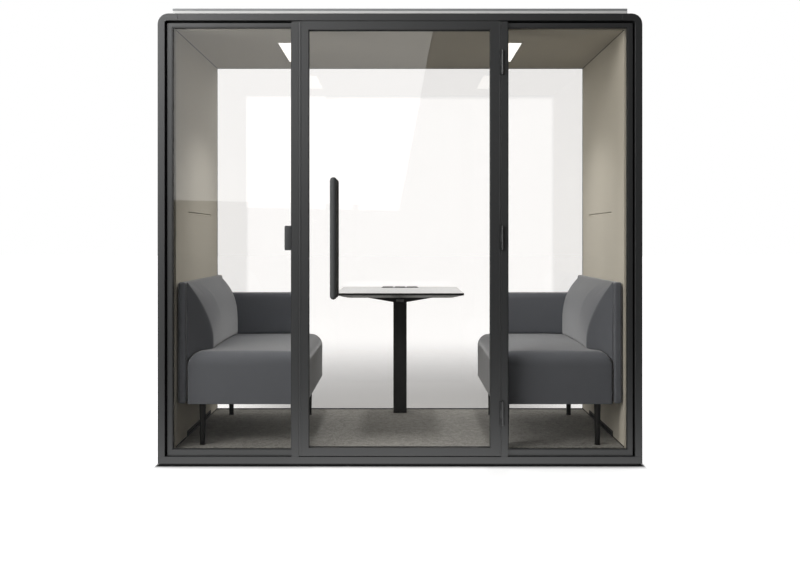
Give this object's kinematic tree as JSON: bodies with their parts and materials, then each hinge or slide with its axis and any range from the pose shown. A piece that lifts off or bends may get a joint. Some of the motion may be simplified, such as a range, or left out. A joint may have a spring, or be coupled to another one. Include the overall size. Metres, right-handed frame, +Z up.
{
  "type": "acoustic office pod",
  "caption": "Free-standing glazed acoustic meeting pod with a dark shell, felt lining, outward swing door, full glass rear wall, facing upholstered benches and a fixed table.",
  "frame": {"origin": "on the floor, at the middle of the overall width and depth", "axes": "+Z up, +X to the right as seen from the door, +Y from the door to the rear glass"},
  "size_m": [2.4, 1.2704, 2.2786],
  "materials": {
    "powder_coat": "fine-textured anthracite powder coat",
    "black_coat": "matt black powder coat",
    "white_coat": "matt white coat",
    "rubber": "matt black rubber",
    "glass": "clear laminated safety glass",
    "felt": "pressed felt, warm grey",
    "carpet": "short loop-pile carpet tile",
    "diffuser": "opal diffuser",
    "laminate": "light laminate with a dark bevelled underside",
    "upholstery": "woven wool-blend upholstery, dark grey",
    "steel": "satin steel",
    "dark_plastic": "moulded black plastic"
  },
  "bodies": {
    "pod": {"base_frame": "powder_coat", "levelling_foot_front_left": "rubber", "levelling_foot_front_right": "rubber", "levelling_foot_rear_left": "rubber", "levelling_foot_rear_right": "rubber", "carpet": "carpet", "left_side_shell": "powder_coat", "right_side_shell": "powder_coat", "roof_shell": "powder_coat", "left_wall_panel": "felt", "right_wall_panel": "felt", "left_floor_vent": "black_coat", "right_floor_vent": "black_coat", "left_light_panel": "diffuser", "right_light_panel": "diffuser", "ceiling_panel": "felt", "left_window_frame": "powder_coat", "right_window_frame": "powder_coat", "left_window_gasket": "rubber", "right_window_gasket": "rubber", "left_window_glass": "glass", "right_window_glass": "glass", "left_jamb": "powder_coat", "right_jamb": "powder_coat", "lock_case": "powder_coat", "door_stop_frame": "black_coat", "lower_hinge_jamb_leaf": "powder_coat", "middle_hinge_jamb_leaf": "powder_coat", "upper_hinge_jamb_leaf": "powder_coat", "rear_frame": "black_coat", "rear_glass": "glass", "roof_plenum": "white_coat", "plenum_lid": "powder_coat", "power_box": "dark_plastic", "fan_tray": "dark_plastic", "table_top": "laminate", "table_sockets": "dark_plastic", "table_bracket": "black_coat", "table_column": "black_coat", "left_bench_frame": "black_coat", "right_bench_frame": "black_coat", "left_seat_cushion": "upholstery", "right_seat_cushion": "upholstery", "left_back_cushion": "upholstery", "right_back_cushion": "upholstery", "left_back_shell": "upholstery", "right_back_shell": "upholstery", "left_rear_arm": "upholstery", "right_rear_arm": "upholstery"},
    "door": {"door_frame": "powder_coat", "door_glass": "glass", "outer_handle": "powder_coat", "inner_handle": "powder_coat", "strike_plate": "steel", "lower_hinge_door_leaf": "powder_coat", "middle_hinge_door_leaf": "powder_coat", "upper_hinge_door_leaf": "powder_coat"},
    "lock_bolt": {"roller_bolt": "steel"},
    "left_fan": {"left_fan_impeller": "dark_plastic"},
    "right_fan": {"right_fan_impeller": "dark_plastic"}
  },
  "joints": [
    {"name": "door_hinge", "type": "hinge", "parent": "pod", "child": "door", "pos_m": [0.5085, -0.57225, 1.131], "axis": [0, 0, 1], "range_deg": [0, 105]},
    {"name": "bolt_slide", "type": "slide", "parent": "pod", "child": "lock_bolt", "axis": [-1, 0, 0], "range_m": [0, 0.005], "stiffness_N_per_m": 600},
    {"name": "left_fan_spin", "type": "hinge", "parent": "pod", "child": "left_fan", "pos_m": [-0.105, 0.03525, 2.23], "axis": [0, 0, 1], "continuous": true},
    {"name": "right_fan_spin", "type": "hinge", "parent": "pod", "child": "right_fan", "pos_m": [0.105, 0.03525, 2.23], "axis": [0, 0, 1], "continuous": true}
  ]
}
